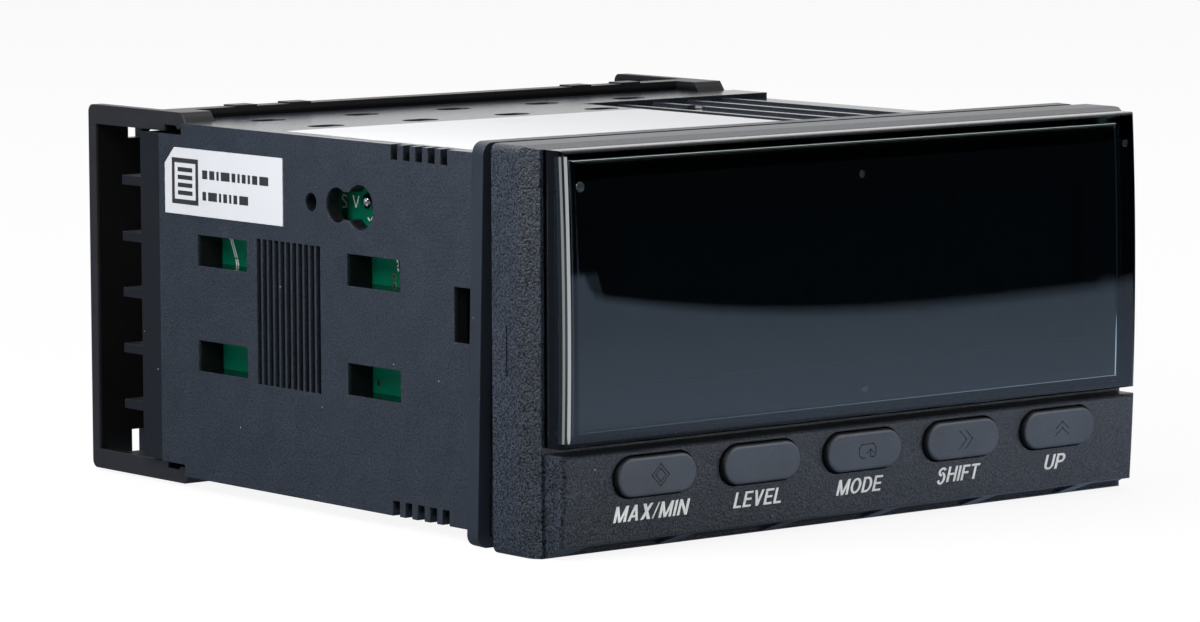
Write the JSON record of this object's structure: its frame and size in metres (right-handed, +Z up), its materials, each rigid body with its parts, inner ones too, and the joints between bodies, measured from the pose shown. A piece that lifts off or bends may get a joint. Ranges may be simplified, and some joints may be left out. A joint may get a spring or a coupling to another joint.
{
  "type": "panel meter",
  "caption": "Digital panel meter with a smoked display window, a row of oval keys, a square case with vents and a clip-on terminal cover at the rear.",
  "frame": {"origin": "centre of the bezel's rear face, which seats on the front of the panel", "axes": "+X to the right as seen from the front, +Y rearwards through the panel, +Z up; the window and keys face -Y"},
  "size_m": [0.096, 0.1008, 0.048],
  "materials": {
    "case_plastic": "fine matt texture, dark blue-grey",
    "cover_plastic": "smooth satin, dark warm grey",
    "terminal_plastic": "satin black",
    "key_plastic": "fine matt, mid grey",
    "smoked_window": "polished, smoked",
    "mask_black": "matt black print",
    "display_glass": "smooth, unlit",
    "light_guide": "clear white",
    "circuit_board": "green solder mask",
    "component_black": "black moulding",
    "gasket_rubber": "smooth black rubber",
    "core_metal": "dark varnish",
    "coil_tape": "yellow tape over the winding",
    "capacitor_sleeve": "dark sleeve",
    "relay_plastic": "off-white moulding",
    "fuse_ceramic": "white ceramic",
    "contact_brass": "plated",
    "screw_steel": "nickel plated",
    "label_paper": "matt white label"
  },
  "bodies": {
    "housing": {"front_bezel": "case_plastic", "display_window": "smoked_window", "display_mask": "mask_black", "lcd_panel": "display_glass", "light_guide": "light_guide", "front_board": "circuit_board", "key_switches": "component_black", "panel_gasket": "gasket_rubber", "rear_case": "case_plastic", "signal_board": "circuit_board", "power_board": "circuit_board", "terminal_board": "circuit_board", "processor_chip": "component_black", "converter_chip": "component_black", "transformer_core": "core_metal", "transformer_coil": "coil_tape", "large_capacitor": "capacitor_sleeve", "small_capacitors": "capacitor_sleeve", "alarm_relay_1": "relay_plastic", "alarm_relay_2": "relay_plastic", "line_fuse": "fuse_ceramic", "front_left_header": "component_black", "front_right_header": "component_black", "rear_left_header": "component_black", "rear_right_header": "component_black", "left_terminal_block": "terminal_plastic", "right_terminal_block": "terminal_plastic", "contact_plates": "contact_brass", "clamp_washers": "screw_steel", "terminal_screws": "screw_steel", "terminal_cover": "cover_plastic", "top_label": "label_paper", "side_label": "label_paper"},
    "max_min_button": {"max_min_key": "key_plastic"},
    "level_button": {"level_key": "key_plastic"},
    "mode_button": {"mode_key": "key_plastic"},
    "shift_button": {"shift_key": "key_plastic"},
    "up_button": {"up_key": "key_plastic"}
  },
  "joints": [
    {"name": "max_min_press", "type": "slide", "parent": "housing", "child": "max_min_button", "axis": [0, 1, 0], "range_m": [0, 0.0005], "stiffness_N_per_m": 600, "springref_m": -0.0004},
    {"name": "level_press", "type": "slide", "parent": "housing", "child": "level_button", "axis": [0, 1, 0], "range_m": [0, 0.0005], "stiffness_N_per_m": 600, "springref_m": -0.0004},
    {"name": "mode_press", "type": "slide", "parent": "housing", "child": "mode_button", "axis": [0, 1, 0], "range_m": [0, 0.0005], "stiffness_N_per_m": 600, "springref_m": -0.0004},
    {"name": "shift_press", "type": "slide", "parent": "housing", "child": "shift_button", "axis": [0, 1, 0], "range_m": [0, 0.0005], "stiffness_N_per_m": 600, "springref_m": -0.0004},
    {"name": "up_press", "type": "slide", "parent": "housing", "child": "up_button", "axis": [0, 1, 0], "range_m": [0, 0.0005], "stiffness_N_per_m": 600, "springref_m": -0.0004}
  ]
}
